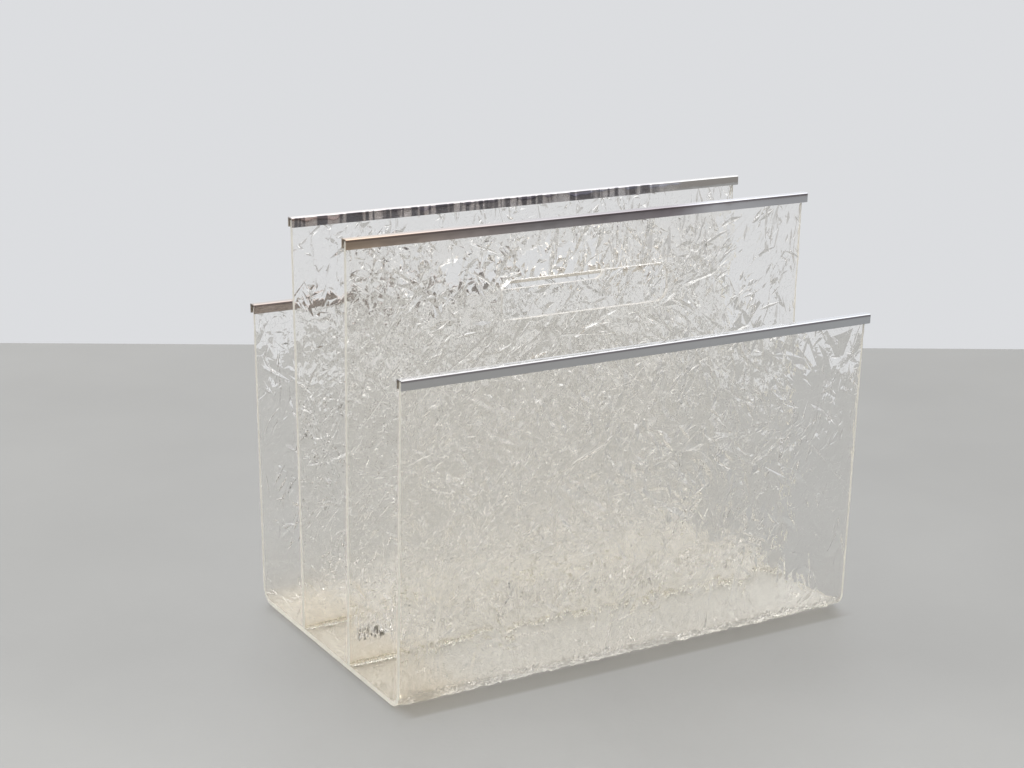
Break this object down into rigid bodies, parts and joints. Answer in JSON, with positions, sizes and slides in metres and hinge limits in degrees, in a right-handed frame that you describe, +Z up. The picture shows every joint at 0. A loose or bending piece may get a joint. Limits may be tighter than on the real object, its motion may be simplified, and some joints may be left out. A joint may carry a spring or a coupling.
{
  "type": "magazine rack",
  "caption": "Free-standing clear crinkle-acrylic magazine rack: a bent tray with taller slotted dividers and chromed edge trims.",
  "frame": {"origin": "middle of the rack's length and depth, on the surface that it stands on", "axes": "+X along the sheets' long edges, +Y from the front wall to the rear wall, +Z up"},
  "size_m": [0.335, 0.2164, 0.272],
  "materials": {
    "acrylic": "clear acrylic sheet with a crumpled, cracked-ice relief, faintly yellowed, sawn edges pale yellow-green",
    "chrome": "bright chrome with faint drawing lines and light wear",
    "cement": "set solvent cement, clear with a pale yellow tint"
  },
  "bodies": {
    "root": {"tray": "acrylic", "front_divider": "acrylic", "rear_divider": "acrylic", "front_wall_trim": "chrome", "front_divider_trim": "chrome", "rear_divider_trim": "chrome", "rear_wall_trim": "chrome", "front_divider_front_bead": "cement", "front_divider_rear_bead": "cement", "rear_divider_front_bead": "cement", "rear_divider_rear_bead": "cement"}
  },
  "joints": []
}
